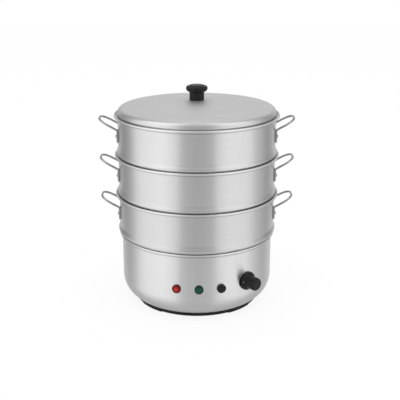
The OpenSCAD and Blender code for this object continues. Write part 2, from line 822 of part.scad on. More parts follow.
module handle(i, side) {
  straight = handle_run - handle_bend_r;
  bar = handle_legs - 2 * handle_bend_r;
  color("silver") tier_place(i) rotate([0, 0, side]) {
    for (s = [-1, 1]) rotate([0, 0, s * leg_angle]) strap();
    translate([leg_x, 0, strap_top]) rotate([0, -handle_tilt, 0]) {
      for (s = [-1, 1]) {
        translate([0, s * handle_legs / 2, 0]) sphere(wire_r);
        translate([0, s * handle_legs / 2, 0]) rotate([0, 90, 0]) cylinder(h = straight, r = wire_r);
        translate([straight, s * bar / 2, 0]) rotate([0, 0, s > 0 ? 0 : -90])
          rotate_extrude(angle = 90) translate([handle_bend_r, 0]) circle(wire_r);
      }
      translate([handle_run, -bar / 2, 0]) rotate([-90, 0, 0]) cylinder(h = bar, r = wire_r);
    }
  }
}

module tier_rivets(i) {
  cap_r = (pow(rivet_head_d / 2, 2) + pow(rivet_head_h, 2)) / (2 * rivet_head_h);
  head_r = strap_r + strap_t + wall_gap / 2;
  inner_r = tier_r - sheet_t - wall_gap - rivet_inner_h;
  color("gainsboro") tier_place(i) strap_places() translate([0, 0, rivet_z]) rotate([0, 90, 0]) {
    translate([0, 0, inner_r]) cylinder(h = rivet_inner_h, d = rivet_head_d);
    translate([0, 0, inner_r]) cylinder(h = head_r - inner_r + 0.5, d = rivet_d);
    translate([0, 0, head_r]) rotate_extrude() intersection() {
      translate([0, rivet_head_h - cap_r]) circle(cap_r);
      block2d(0, 0, rivet_head_d / 2, rivet_head_h);
    }
  }
}

module bottom_tier_ring() { tier_ring(0); }
module bottom_tier_plate() { tier_plate(0); }
module bottom_tier_left_handle() { handle(0, 180); }
module bottom_tier_right_handle() { handle(0, 0); }
module bottom_tier_rivets() { tier_rivets(0); }
module middle_tier_ring() { tier_ring(1); }
module middle_tier_plate() { tier_plate(1); }
module middle_tier_left_handle() { handle(1, 180); }
module middle_tier_right_handle() { handle(1, 0); }
module middle_tier_rivets() { tier_rivets(1); }
module top_tier_ring() { tier_ring(2); }
module top_tier_plate() { tier_plate(2); }
module top_tier_left_handle() { handle(2, 180); }
module top_tier_right_handle() { handle(2, 0); }
module top_tier_rivets() { tier_rivets(2); }

// Lid

// Filled half section of the lid, drawn in by a thickness
module lid_form(inset) {
  crown_z = lid_rise - crown_r;
  lean = atan2(lid_edge_c, lid_wide_z - crown_z);
  intersection() {
    translate([0, crown_z]) circle(crown_r - inset);
    block2d(0, lid_wide_z, lid_edge_c + lid_edge_r * sin(lean), lid_rise + 1);
    polygon([
      [0, crown_z],
      2 * crown_r * [sin(lean), cos(lean)] + [0, crown_z],
      [0, crown_z + 2 * crown_r]
    ]);
  }
  arc_band(lid_edge_c, lid_wide_z, 0, lid_edge_r - inset, 0, 90 - lean + edge_lap);
  block2d(0, lid_hem_r, lid_r - inset, lid_wide_z);
  arc_band(lid_hem_c, lid_hem_r, 0, lid_hem_r - inset, -90, 0);
  block2d(0, inset, lid_hem_c, lid_hem_r);
}

module lid_shell() {
  color("silver") translate([0, 0, lid_z]) difference() {
    rotate_extrude() difference() {
      lid_form(0);
      lid_form(sheet_t);
      block2d(-1, -1, lid_mouth_r, lid_wide_z);
    }
    translate([0, 0, lid_rise - 10]) cylinder(h = 20, d = lid_screw_d + 2 * hole_gap);
  }
}

module lid_knob() {
  head_r = lid_knob_d / 2;
  under_r = 8.5;
  over_r = 5.5;
  head_z = lid_knob_h - lid_head_h;
  wide_z = head_z + under_r;
  color([0.06, 0.06, 0.06]) translate([0, 0, lid_z + lid_rise]) difference() {
    rotate_extrude() {
      block2d(0, 0, lid_neck_d / 2, wide_z);
      block2d(0, head_z, head_r - under_r, wide_z);
      arc_band(head_r - under_r, wide_z, 0, under_r, -90, 0);
      block2d(0, wide_z, head_r - over_r, wide_z + over_r);
      arc_band(head_r - over_r, wide_z, 0, over_r, 0, 90);
      block2d(0, wide_z, lid_pad_d / 2, lid_knob_h);
    }
    translate([0, 0, -1]) cylinder(h = lid_screw_len - sheet_t, d = lid_screw_d + 2 * running_gap);
  }
}

module lid_washer() {
  color("gainsboro") translate([0, 0, lid_z + lid_rise - sheet_t - wall_gap - washer_t]) difference() {
    cylinder(h = washer_t, d = washer_d);
    translate([0, 0, -1]) cylinder(h = washer_t + 2, d = lid_screw_d + 2 * hole_gap);
  }
}

module lid_screw() {
  head_top = lid_z + lid_rise - sheet_t - wall_gap - washer_t;
  color("gray") {
    translate([0, 0, head_top - lid_screw_head_h]) cylinder(h = lid_screw_head_h, d = lid_screw_head_d);
    translate([0, 0, head_top - lid_screw_head_h]) cylinder(h = lid_screw_len, d = lid_screw_d);
  }
}

base_shell();
water_pan();
heat_spreader();
heating_element();
bulb_clip();
sensor_bulb();
capillary_tube();
bottom_cover();
feet();
cover_screws();
regulator();
regulator_nut();
knob_shaft();
control_knob();
red_lens();
red_lamp_body();
green_lens();
green_lamp_body();
lamp_nuts();
reset_housing();
reset_button();
reset_nut();
cord_gland();
gland_nut();
terminal_block();
earth_stud();
live_lead();
switched_lead();
element_lead();
neutral_lead();
lamp_link();
green_lamp_lead();
red_lamp_lead();
earth_lead();
earth_tag();
bottom_tier_ring();
bottom_tier_plate();
bottom_tier_left_handle();
bottom_tier_right_handle();
bottom_tier_rivets();
middle_tier_ring();
middle_tier_plate();
middle_tier_left_handle();
middle_tier_right_handle();
middle_tier_rivets();
top_tier_ring();
top_tier_plate();
top_tier_left_handle();
top_tier_right_handle();
top_tier_rivets();
lid_shell();
lid_knob();
lid_screw();
lid_washer();
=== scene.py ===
import json
import math

import bmesh
import bpy
from mathutils import Matrix, Vector


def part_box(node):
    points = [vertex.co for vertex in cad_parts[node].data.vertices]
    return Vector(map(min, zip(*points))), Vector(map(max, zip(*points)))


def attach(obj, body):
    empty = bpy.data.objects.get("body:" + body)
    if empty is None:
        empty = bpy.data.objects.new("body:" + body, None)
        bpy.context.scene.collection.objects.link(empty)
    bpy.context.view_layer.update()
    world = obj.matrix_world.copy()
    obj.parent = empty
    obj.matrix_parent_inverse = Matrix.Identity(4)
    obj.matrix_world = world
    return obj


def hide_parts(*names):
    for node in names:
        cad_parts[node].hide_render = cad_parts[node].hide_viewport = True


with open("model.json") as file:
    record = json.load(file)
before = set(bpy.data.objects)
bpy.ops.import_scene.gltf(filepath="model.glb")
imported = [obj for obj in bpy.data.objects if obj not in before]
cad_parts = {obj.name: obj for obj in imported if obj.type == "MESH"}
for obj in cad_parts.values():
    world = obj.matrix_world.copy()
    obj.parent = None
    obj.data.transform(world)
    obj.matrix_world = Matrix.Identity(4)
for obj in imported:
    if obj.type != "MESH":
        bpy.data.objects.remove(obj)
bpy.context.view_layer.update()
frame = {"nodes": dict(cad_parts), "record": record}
nodes = frame["nodes"]
slotOf = {s["node"]: s["material_slot"] for s in frame["record"]["subparts"]}
scene = bpy.context.scene
scene.view_settings.view_transform = "Standard"
print("frame:", len(nodes), "nodes")


# camera

cameraSettings = {
    "distance": 1.7758,   # from the stack's axis, metres
    "height": 0.8015,
    "turn": -1.6,         # degrees from -Y towards +X
    "pitch": 17.88,       # degrees below level
    "lens": 72.22,
    "sensor": 36,
    "shiftX": 0.008,
}


def makeCamera(s):
    data = bpy.data.cameras.new("photoCamera")
    data.lens = s["lens"]
    data.sensor_width = s["sensor"]
    data.shift_x = s["shiftX"]
    cam = bpy.data.objects.new("photoCamera", data)
    scene.collection.objects.link(cam)
    turn = math.radians(s["turn"])
    cam.location = (s["distance"] * math.sin(turn), -s["distance"] * math.cos(turn), s["height"])
    cam.rotation_euler = (math.radians(90 - s["pitch"]), 0, turn)
    scene.camera = cam


makeCamera(cameraSettings)
print("camera set")


# node helpers

def newNode(tree, kind, at=(0, 0), **values):
    node = tree.nodes.new(kind)
    node.location = at
    for name, value in values.items():
        setattr(node, name, value)
    return node


def mathNode(tree, operation, first, second=None):
    node = newNode(tree, "ShaderNodeMath", operation=operation)
    for index, value in enumerate((first, second)):
        if value is None:
            continue
        if isinstance(value, (int, float)):
            node.inputs[index].default_value = value
        else:
            tree.links.new(value, node.inputs[index])
    return node.outputs[0]


def ramp(tree, value, stops, at=(0, 0), smooth=False):
    node = newNode(tree, "ShaderNodeValToRGB", at)
    band = node.color_ramp
    band.interpolation = "EASE" if smooth else "LINEAR"
    while len(band.elements) < len(stops):
        band.elements.new(0.5)
    for element, (place, colour) in zip(band.elements, stops):
        element.position = place
        if isinstance(colour, (int, float)):
            colour = (colour, colour, colour)
        element.color = (*colour, 1)
    tree.links.new(value, node.inputs["Fac"])
    return node.outputs["Color"]


def smoothStep(tree, value, low, high, start=0.0, end=1.0):
    # eased from start at low to end at high
    node = newNode(tree, "ShaderNodeMapRange", (-300, 0), interpolation_type="SMOOTHSTEP")
    for label, limit in (("From Min", low), ("From Max", high), ("To Min", start), ("To Max", end)):
        node.inputs[label].default_value = limit
    tree.links.new(value, node.inputs["Value"])
    return node.outputs["Result"]


def shaded(tree, colour, shade, at):
    node = newNode(tree, "ShaderNodeMix", at, data_type="RGBA", blend_type="MULTIPLY")
    node.inputs["Factor"].default_value = 1.0
    if isinstance(colour, tuple):
        node.inputs["A"].default_value = (*colour, 1)
    else:
        tree.links.new(colour, node.inputs["A"])
    tree.links.new(shade, node.inputs["B"])
    return node.outputs["Result"]


def newGroup(name, inputs, outputs):
    group = bpy.data.node_groups.new(name, "ShaderNodeTree")
    for label, value in inputs.items():
        socket = group.interface.new_socket(label, in_out="INPUT", socket_type="NodeSocketFloat")
        socket.default_value = value
    for label in outputs:
        group.interface.new_socket(label, in_out="OUTPUT", socket_type="NodeSocketFloat")
    start = newNode(group, "NodeGroupInput", (-1400, 0))
    end = newNode(group, "NodeGroupOutput", (900, 0))
    return group, start, end


def placeGroup(tree, group, at=(0, 0), **values):
    node = newNode(tree, "ShaderNodeGroup", at, node_tree=group)
    for label, value in values.items():
        node.inputs[label].default_value = value
    return node


def axisPlace(tree):
    # x, y, z and the distance from the stack's axis
    coords = newNode(tree, "ShaderNodeTexCoord", (-1400, -300))
    split = newNode(tree, "ShaderNodeSeparateXYZ", (-1200, -300))
    tree.links.new(coords.outputs["Object"], split.inputs[0])
    x, y, z = split.outputs
    squares = mathNode(tree, "ADD", mathNode(tree, "MULTIPLY", x, x), mathNode(tree, "MULTIPLY", y, y))
    return x, y, z, mathNode(tree, "SQRT", squares)


# shared effects

spinning = {
    "layers": [(1.0, 3.0), (0.06, 2.0)],    # share of the fineness and noise detail, fine rings then broad ones
    "noiseRough": 0.65,
    "broadRise": 0.5,     # share of the broad rings in the relief
    "axisGap": 0.0005,    # keeps the division off zero
}


def makeSpunMarks(s):
    # fine rings left by spinning on a lathe, round the Z axis
    group, start, end = newGroup("spunMarks", {"Fineness": 900.0, "Drift": 3.0},
        ("Streak", "Broad", "Height", "Radius"))
    link = group.links.new
    x, y, z, radius = axisPlace(group)
    safe = mathNode(group, "MAXIMUM", radius, s["axisGap"])
    cosine = mathNode(group, "MULTIPLY", mathNode(group, "DIVIDE", x, safe), start.outputs["Drift"])
    sine = mathNode(group, "MULTIPLY", mathNode(group, "DIVIDE", y, safe), start.outputs["Drift"])
    layers = []
    for share, detail in s["layers"]:
        pack = newNode(group, "ShaderNodeCombineXYZ", (-300, 0))
        scale = mathNode(group, "MULTIPLY", start.outputs["Fineness"], share)
        link(mathNode(group, "MULTIPLY", radius, scale), pack.inputs[0])
        link(mathNode(group, "MULTIPLY", z, scale), pack.inputs[1])
        link(cosine, pack.inputs[2])
        noise = newNode(group, "ShaderNodeTexNoise", (0, 0), noise_dimensions="4D")
        noise.inputs["Scale"].default_value = 1.0
        noise.inputs["Detail"].default_value = detail
        noise.inputs["Roughness"].default_value = s["noiseRough"]
        link(pack.outputs[0], noise.inputs["Vector"])
        link(sine, noise.inputs["W"])
        layers.append(noise.outputs["Fac"])
    fine, broad = layers
    link(fine, end.inputs["Streak"])
    link(broad, end.inputs["Broad"])
    link(mathNode(group, "ADD", fine, mathNode(group, "MULTIPLY", broad, s["broadRise"])), end.inputs["Height"])
    link(radius, end.inputs["Radius"])
    return group


wiping = {"Detail": 4.0, "Roughness": 0.6, "Distortion": 0.6}


def makeHandling(s):
    # faint cloudy smears from wiping and handling
    group, start, end = newGroup("handling", {"Size": 14.0, "Amount": 1.0}, ("Smear",))
    link = group.links.new
    coords = newNode(group, "ShaderNodeTexCoord", (-900, 0))
    noise = newNode(group, "ShaderNodeTexNoise", (-600, 0))
    for label, value in s.items():
        noise.inputs[label].default_value = value
    link(coords.outputs["Object"], noise.inputs["Vector"])
    link(start.outputs["Size"], noise.inputs["Scale"])
    centred = mathNode(group, "SUBTRACT", noise.outputs["Fac"], 0.5)
    link(mathNode(group, "MULTIPLY", centred, start.outputs["Amount"]), end.inputs["Smear"])
    return group


pebbles = {"fineDetail": 2.0, "cloudScale": 40.0, "cloudDetail": 3.0}


def makeGrain(s):
    # pebbled skin of moulded plastic and rubber, or the tooth of a casting
    group, start, end = newGroup("grain", {"Fineness": 1500.0, "Tone": 0.2}, ("Height", "Shade"))
    link = group.links.new
    coords = newNode(group, "ShaderNodeTexCoord", (-900, 0))
    fine = newNode(group, "ShaderNodeTexNoise", (-600, 100))
    fine.inputs["Detail"].default_value = s["fineDetail"]
    link(coords.outputs["Object"], fine.inputs["Vector"])
    link(start.outputs["Fineness"], fine.inputs["Scale"])
    cloud = newNode(group, "ShaderNodeTexNoise", (-600, -200))
    cloud.inputs["Scale"].default_value = s["cloudScale"]
    cloud.inputs["Detail"].default_value = s["cloudDetail"]
    link(coords.outputs["Object"], cloud.inputs["Vector"])
    link(fine.outputs["Fac"], end.inputs["Height"])
    centred = mathNode(group, "SUBTRACT", cloud.outputs["Fac"], 0.5)
    swing = mathNode(group, "MULTIPLY", centred, start.outputs["Tone"])
    link(mathNode(group, "ADD", swing, 1.0), end.inputs["Shade"])
    return group


# painted shade at the seams and a painted highlight on the lip, multiplied into the metal's colour
seamPaintedLight = [    # share of light taken, and where: none at the first distance, full at the second, in metres
    {"share": 0.12, "where": {"overFoot": (0.0052, 0.0028)}},    # on the foot
    {"share": 0.42, "where": {"overLedge": (-0.0006, -0.0001), "insideRim": (0.0026, 0.0034)}},    # in the groove
    {"share": 0.28, "where": {"overLedge": (-0.0078, -0.0056), "pastWall": (0.001, 0.0003)}},    # under the rim
    # painted highlight on the lip
    {"share": -0.16, "where": {"overLedge": (-0.0036, -0.0026), "insideRim": (0.0034, 0.0026)}},    # lip, kept bright
]


def makeSeamShade(s):
    # painted shade where one tier sits on the next, on its foot, in the rim's groove and under the rim, and a painted
    # highlight on the lip
    group, start, end = newGroup("seamShade",
        {"Foot": 0.16, "Ledge": 0.25, "Wall": 0.178, "Rim": 0.1865}, ("Shade",))
    z, radius = axisPlace(group)[2:]
    distances = {
        "overFoot": mathNode(group, "SUBTRACT", z, start.outputs["Foot"]),
        "overLedge": mathNode(group, "SUBTRACT", z, start.outputs["Ledge"]),
        "pastWall": mathNode(group, "SUBTRACT", radius, start.outputs["Wall"]),
        "insideRim": mathNode(group, "SUBTRACT", start.outputs["Rim"], radius),
    }
    shade = 1.0
    for paintedSeam in s:
        taken = paintedSeam["share"]
        for label, (none, full) in paintedSeam["where"].items():
            taken = mathNode(group, "MULTIPLY", smoothStep(group, distances[label], none, full), taken)
        shade = mathNode(group, "MULTIPLY", mathNode(group, "SUBTRACT", 1.0, taken), shade)
    group.links.new(shade, end.inputs["Shade"])
    return group


spunMarks = makeSpunMarks(spinning)
handling = makeHandling(wiping)
grain = makeGrain(pebbles)
seamShade = makeSeamShade(seamPaintedLight)
print("shared effects made")


# materials

def bareMaterial(name):
    mat = bpy.data.materials.new(name)
    mat.use_nodes = True
    tree = mat.node_tree
    tree.nodes.clear()
    out = newNode(tree, "ShaderNodeOutputMaterial", (600, 0))
    return mat, tree, out


def newMaterial(name):
    mat, tree, out = bareMaterial(name)
    shader = newNode(tree, "ShaderNodeBsdfPrincipled", (250, 0))
    tree.links.new(shader.outputs[0], out.inputs[0])
    return mat, tree, shader


def bumpInto(tree, shader, height, strength, distance=0.0002):
    bump = newNode(tree, "ShaderNodeBump", (0, -400))
    bump.inputs["Strength"].default_value = strength
    bump.inputs["Distance"].default_value = distance
    tree.links.new(height, bump.inputs["Height"])
    tree.links.new(bump.outputs[0], shader.inputs["Normal"])


spunTone = {"streak": 0.6, "broad": 0.4, "darkAt": 0.25, "lightAt": 0.75}
wallFinish = {"fineness": 2600.0, "drift": 2.0, "smearSize": 9.0, "smear": 0.04, "dark": 0.76, "light": 0.82,
    "rough": 0.27, "roughSwing": 0.06, "aniso": 0.75, "anisoTurn": 0.25, "bump": 0.02}
lidFinish = {"fineness": 1300.0, "drift": 2.0, "smearSize": 8.0, "smear": 0.06, "dark": 0.74, "light": 0.82,
    "rough": 0.54, "edgeRough": 0.25, "edge": (0.165, 0.177), "roughSwing": 0.06, "bump": 0.02}
millFinish = {"fineness": 700.0, "drift": 6.0, "smearSize": 20.0, "smear": 0.12, "dark": 0.62, "light": 0.74,
    "rough": 0.34, "roughSwing": 0.1, "bump": 0.06}
wireFinish = {"fineness": 2500.0, "drift": 20.0, "smearSize": 60.0, "smear": 0.08, "dark": 0.4, "light": 0.52,
    "rough": 0.2, "roughSwing": 0.1, "bump": 0.05}


def spunMetal(name, s):
    mat, tree, shader = newMaterial(name)
    marks = placeGroup(tree, spunMarks, (-900, 0), Fineness=s["fineness"], Drift=s["drift"])
    smears = placeGroup(tree, handling, (-900, -300), Size=s["smearSize"], Amount=s["smear"])
    tone = mathNode(tree, "ADD", mathNode(tree, "MULTIPLY", marks.outputs["Streak"], spunTone["streak"]),
        mathNode(tree, "MULTIPLY", marks.outputs["Broad"], spunTone["broad"]))
    stops = [(spunTone["darkAt"], s["dark"]), (spunTone["lightAt"], s["light"])]
    colour = ramp(tree, tone, stops, (-200, 100))
    # painted shade and painted highlight at the seams, multiplied into the colour
    if "seams" in s:
        paintedSeam = placeGroup(tree, seamShade, (-500, 400), **s["seams"])
        colour = shaded(tree, colour, paintedSeam.outputs["Shade"], (0, 200))
    tree.links.new(colour, shader.inputs["Base Color"])
    level = s["rough"]
    if "edgeRough" in s:
        level = smoothStep(tree, marks.outputs["Radius"], *s["edge"], s["rough"], s["edgeRough"])
    swing = mathNode(tree, "MULTIPLY", marks.outputs["Streak"], s["roughSwing"])
    rough = mathNode(tree, "ADD", swing, smears.outputs["Smear"])
    tree.links.new(mathNode(tree, "ADD", rough, level), shader.inputs["Roughness"])
    shader.inputs["Metallic"].default_value = 1.0
    if "aniso" in s:
        shader.inputs["Anisotropic"].default_value = s["aniso"]
        shader.inputs["Anisotropic Rotation"].default_value = s["anisoTurn"]
        tangent = newNode(tree, "ShaderNodeTangent", (0, -600), direction_type="RADIAL", axis="Z")
        tree.links.new(tangent.outputs[0], shader.inputs["Tangent"])
    bumpInto(tree, shader, marks.outputs["Height"], s["bump"])
    return mat


grainSmearSize = 30.0
grainFinishes = {
    "cast_aluminium": {"colour": (0.5, 0.5, 0.5), "metal": 1.0,
        "fineness": 900.0, "tone": 0.4, "smear": 0.1, "rough": 0.5, "bump": 0.35},
    "element_steel": {"colour": (0.2, 0.19, 0.18), "metal": 1.0,
        "fineness": 1200.0, "tone": 0.8, "smear": 0.15, "rough": 0.42, "bump": 0.12},
    "steel_hardware": {"colour": (0.6, 0.6, 0.59), "metal": 1.0,
        "fineness": 2200.0, "tone": 0.3, "smear": 0.1, "rough": 0.3, "bump": 0.06},
    "copper": {"colour": (0.68, 0.36, 0.22), "metal": 1.0,
        "fineness": 1800.0, "tone": 0.5, "smear": 0.12, "rough": 0.32, "bump": 0.06},
    "brass": {"colour": (0.72, 0.56, 0.26), "metal": 1.0,
        "fineness": 1800.0, "tone": 0.4, "smear": 0.1, "rough": 0.28, "bump": 0.06},
    "foot_rubber": {"colour": (0.022, 0.022, 0.022), "specular": 0.25,
        "fineness": 1400.0, "tone": 0.4, "smear": 0.05, "rough": 0.72, "bump": 0.3},
    "light_plastic": {"colour": (0.72, 0.69, 0.6),
        "fineness": 1600.0, "tone": 0.12, "smear": 0.05, "rough": 0.45, "bump": 0.12},
    "brown_lead": {"colour": (0.2, 0.08, 0.035),
        "fineness": 2500.0, "tone": 0.2, "smear": 0.05, "rough": 0.42, "bump": 0.06},
    "blue_lead": {"colour": (0.05, 0.14, 0.36),
        "fineness": 2500.0, "tone": 0.2, "smear": 0.05, "rough": 0.42, "bump": 0.06},
    "green_lead": {"colour": (0.24, 0.4, 0.05),
        "fineness": 2500.0, "tone": 0.3, "smear": 0.05, "rough": 0.42, "bump": 0.06},
    "black_plastic": {"colour": (0.012, 0.012, 0.0125), "specular": 0.2,
        "fineness": 1700.0, "tone": 0.3, "smear": 0.08, "rough": 0.34, "bump": 0.1},
}


def grainMaterial(name, s):
    mat, tree, shader = newMaterial(name)
    skin = placeGroup(tree, grain, (-900, 0), Fineness=s["fineness"], Tone=s["tone"])
    smears = placeGroup(tree, handling, (-900, -300), Size=grainSmearSize, Amount=s["smear"])
    base = shaded(tree, s["colour"], skin.outputs["Shade"], (-300, 100))
    tree.links.new(base, shader.inputs["Base Color"])
    tree.links.new(mathNode(tree, "ADD", smears.outputs["Smear"], s["rough"]), shader.inputs["Roughness"])
    shader.inputs["Metallic"].default_value = s.get("metal", 0.0)
    shader.inputs["Specular IOR Level"].default_value = s.get("specular", 0.5)
    bumpInto(tree, shader, skin.outputs["Height"], s["bump"])
    return mat


lensSkin = {"radius": 0.0105, "fineness": 500.0, "tone": 0.3, "rough": 0.16, "specular": 0.2, "bump": 0.04}
# lens colours: painted highlight near the middle, painted shade towards the edge
redStops = [    # share of the lens radius, colour
    (0.1, (0.74, 0.1, 0.06)), (0.35, (0.45, 0.028, 0.022)),
    (0.6, (0.19, 0.009, 0.009)), (0.86, (0.07, 0.005, 0.005)),
]
greenStops = [
    (0.1, (0.012, 0.078, 0.052)), (0.6, (0.008, 0.055, 0.038)),
    (0.8, (0.004, 0.026, 0.02)), (1.0, (0.002, 0.01, 0.008)),
]


def lensCentre(node):
    low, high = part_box(node)
    return tuple((low + high) / 2)


def lensMaterial(name, centre, stops, glow, s):
    # moulded lens: a painted highlight brightens its middle and painted shade darkens it towards its edge
    mat, tree, shader = newMaterial(name)
    coords = newNode(tree, "ShaderNodeTexCoord", (-1200, 0))
    middle = newNode(tree, "ShaderNodeVectorMath", (-1000, 0), operation="DISTANCE")
    middle.inputs[1].default_value = centre
    tree.links.new(coords.outputs["Object"], middle.inputs[0])
    reach = mathNode(tree, "DIVIDE", middle.outputs["Value"], s["radius"])
    skin = placeGroup(tree, grain, (-1000, -300), Fineness=s["fineness"], Tone=s["tone"])
    tint = shaded(tree, ramp(tree, reach, stops, (-500, 200), True), skin.outputs["Shade"], (-200, 200))
    tree.links.new(tint, shader.inputs["Base Color"])
    shader.inputs["Roughness"].default_value = s["rough"]
    shader.inputs["Specular IOR Level"].default_value = s["specular"]
    if glow > 0:
        tree.links.new(tint, shader.inputs["Emission Color"])
        shader.inputs["Emission Strength"].default_value = glow
    bumpInto(tree, shader, skin.outputs["Height"], s["bump"])
    return mat


materials = {
    "plain_aluminium": spunMetal("millAluminium", millFinish),
    "handle_aluminium": spunMetal("wireAluminium", wireFinish),
    "red_lens": lensMaterial("redLens", lensCentre("red_lens"), redStops, 0.1, lensSkin),    # lit
    "green_lens": lensMaterial("greenLens", lensCentre("green_lens"), greenStops, 0.0, lensSkin),
}
for name, finish in grainFinishes.items():
    materials[name] = grainMaterial(name, finish)

# the lower tiers are darker, and each ring has its own seams
tierToneShare = {"bottom_tier_ring": 0.93, "middle_tier_ring": 0.97, "top_tier_ring": 1.0, "base_shell": 1.0}
rimSizes = {"lip": 0.002, "step": 0.0085, "baseStep": 0.0055}
noFoot = -1.0    # far below, where nothing is
spunPieces = {"lid_shell": spunMetal("lidAluminium", lidFinish)}
for name, share in tierToneShare.items():
    low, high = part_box(name)
    onBase = name == "base_shell"
    step = rimSizes["baseStep" if onBase else "step"]
    seams = {"Foot": noFoot if onBase else low.z, "Ledge": high.z - rimSizes["lip"],
        "Rim": high.y, "Wall": high.y - step}
    finish = dict(wallFinish, dark=wallFinish["dark"] * share, light=wallFinish["light"] * share, seams=seams)
    spunPieces[name] = spunMetal("spunAluminium" + name.split("_")[0].capitalize(), finish)

for name, obj in nodes.items():
    obj.data.materials.clear()
    obj.data.materials.append(spunPieces[name] if name in spunPieces else materials[slotOf[name]])
print("materials:", len(bpy.data.materials))


# mesh helpers

def addObject(name, bm, mat):
    mesh = bpy.data.meshes.new(name)
    bm.to_mesh(mesh)
    bm.free()
    mesh.materials.append(mat)
    obj = bpy.data.objects.new(name, mesh)
    scene.collection.objects.link(obj)
    return obj


def ofKind(geom, kind):
    return [g for g in geom if isinstance(g, kind)]


# lid: shallow dome that sits inside the top tier's rim

lidCover = {
    "radius": 0.178,
    "edge": 0.012,       # round above the widest place
    "hem": 0.004,        # round below it
    "turnIn": 0.009,     # width of the turned-in hem
    "nest": 0.0019,      # how far the hem sits down in the tier's mouth
    "band": 0.003,       # upright stretch between the two rounds
    "sheet": 0.0015,
    "bore": 0.0027,
    "crownSteps": 36,
    "edgeSteps": 12,
    "hemSteps": 10,
    "steps": 128,        # round the lid
    "weld": 1e-6,
}


def stretch(bm, tip, step):
    grown = bmesh.ops.extrude_vert_indiv(bm, verts=[tip])
    bmesh.ops.translate(bm, verts=grown["verts"], vec=step)
    return grown["verts"][0]


def curve(bm, tip, centre, angle, steps):
    turned = bmesh.ops.spin(bm, geom=[tip], cent=centre, axis=(0, 1, 0), angle=angle, steps=steps)
    return ofKind(turned["geom_last"], bmesh.types.BMVert)[0]


def makeLid(s):
    low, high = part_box("lid_shell")
    hemZ = low.z - s["nest"] + s["hem"]
    edgeZ = hemZ + s["band"]
    edgeX = s["radius"] - s["edge"]
    drop = high.z - edgeZ
    crown = (edgeX ** 2 + drop ** 2 - s["edge"] ** 2) / (2 * (drop - s["edge"]))    # radius of the dome
    crownZ = high.z - crown
    lean = math.atan2(edgeX, edgeZ - crownZ)
    start = math.asin(s["bore"] / crown)
    bm = bmesh.new()
    tip = bm.verts.new((s["bore"], 0, crownZ + crown * math.cos(start)))    # the profile, from the bore outwards
    tip = curve(bm, tip, (0, 0, crownZ), lean - start, s["crownSteps"])
    tip = curve(bm, tip, (edgeX, 0, edgeZ), math.pi / 2 - lean, s["edgeSteps"])
    tip = stretch(bm, tip, (0, 0, hemZ - edgeZ))
    tip = curve(bm, tip, (s["radius"] - s["hem"], 0, hemZ), math.pi / 2, s["hemSteps"])
    stretch(bm, tip, (s["hem"] - s["turnIn"], 0, 0))
    bmesh.ops.spin(bm, geom=bm.verts[:] + bm.edges[:], cent=(0, 0, 0), axis=(0, 0, 1), angle=2 * math.pi,
        steps=s["steps"], use_merge=True)
    bmesh.ops.remove_doubles(bm, verts=bm.verts, dist=s["weld"])
    bmesh.ops.recalc_face_normals(bm, faces=bm.faces)
    top = max(bm.faces, key=lambda f: f.calc_center_median().z)
    if top.normal.z < 0:
        bmesh.ops.reverse_faces(bm, faces=bm.faces)
    bmesh.ops.solidify(bm, geom=bm.faces[:], thickness=s["sheet"])
    lid = addObject("lidCover", bm, spunPieces["lid_shell"])
    lid.data.shade_smooth()
    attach(lid, "lid")
    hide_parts("lid_shell")


makeLid(lidCover)
print("lid made")


# pale mark let into the knob's skirt

paleDot = {
    "angle": 38.5,       # of the knob's axis, degrees from -Y towards +X
    "height": 0.0835,
    "back": 0.1745,      # the knob's back face from the Z axis
    "ring": 0.01797,     # from the knob's axis
    "rise": 0.0063,      # from the knob's back face
    "turn": -80.0,       # round the knob from its top, degrees
    "lean": (0.76, 0.65),
    "radius": 0.0007,
    "sunk": 0.0001,
    "proud": 0.0002,
    "inset": 0.35,       # share of the radius
    "dome": 0.5,         # share of the height
    "segments": 28,
}


def makePaleDot(s):
    angle = math.radians(s["angle"])
    out = Vector((math.sin(angle), -math.cos(angle), 0))
    side = Vector((math.cos(angle), math.sin(angle), 0))
    turn = math.radians(s["turn"])
    away = Vector((0, 0, 1)) * math.cos(turn) + side * math.sin(turn)
    place = out * (s["back"] + s["rise"]) + Vector((0, 0, s["height"])) + away * s["ring"]
    facing = away * s["lean"][0] + out * s["lean"][1]
    aim = facing.to_track_quat("Z", "Y").to_matrix().to_4x4()
    bm = bmesh.new()
    bmesh.ops.create_circle(bm, cap_ends=True, segments=s["segments"], radius=s["radius"])
    bmesh.ops.translate(bm, verts=bm.verts, vec=(0, 0, -s["sunk"]))
    grown = bmesh.ops.extrude_face_region(bm, geom=bm.faces[:])
    bmesh.ops.translate(bm, verts=ofKind(grown["geom"], bmesh.types.BMVert), vec=(0, 0, s["proud"]))
    top = ofKind(grown["geom"], bmesh.types.BMFace)
    bmesh.ops.inset_region(bm, faces=top, thickness=s["radius"] * s["inset"], depth=s["proud"] * s["dome"])
    bmesh.ops.recalc_face_normals(bm, faces=bm.faces)
    bmesh.ops.transform(bm, verts=bm.verts, matrix=Matrix.Translation(place) @ aim)
    mark = addObject("knobPaleDot", bm, materials["light_plastic"])
    mark.data.shade_smooth()
    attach(mark, "control_knob")


makePaleDot(paleDot)
print("pointer made")


# studio: pale floor, white surround, soft lamps and a tent that the metal mirrors

studio = {
    "surround": 1.0,       # light from all round
    "floorSize": 12.0,
    "floorTone": 0.92,
    "floorLift": 0.86,     # share of plain white that the camera sees in the floor
    "tentRadius": 2.5,
    "tentLow": -9.0,
    "tentHigh": 3.0,
    "tentSegments": 96,
    "floorGlow": 0.3,      # pale floor mirrored below the dark front of the tent
    "underGlow": 0.5,      # shaded floor mirrored in the lower corner
    "underReach": (0.13, 0.3),
    "underDepth": 0.015,
    "underSegments": 64,
}

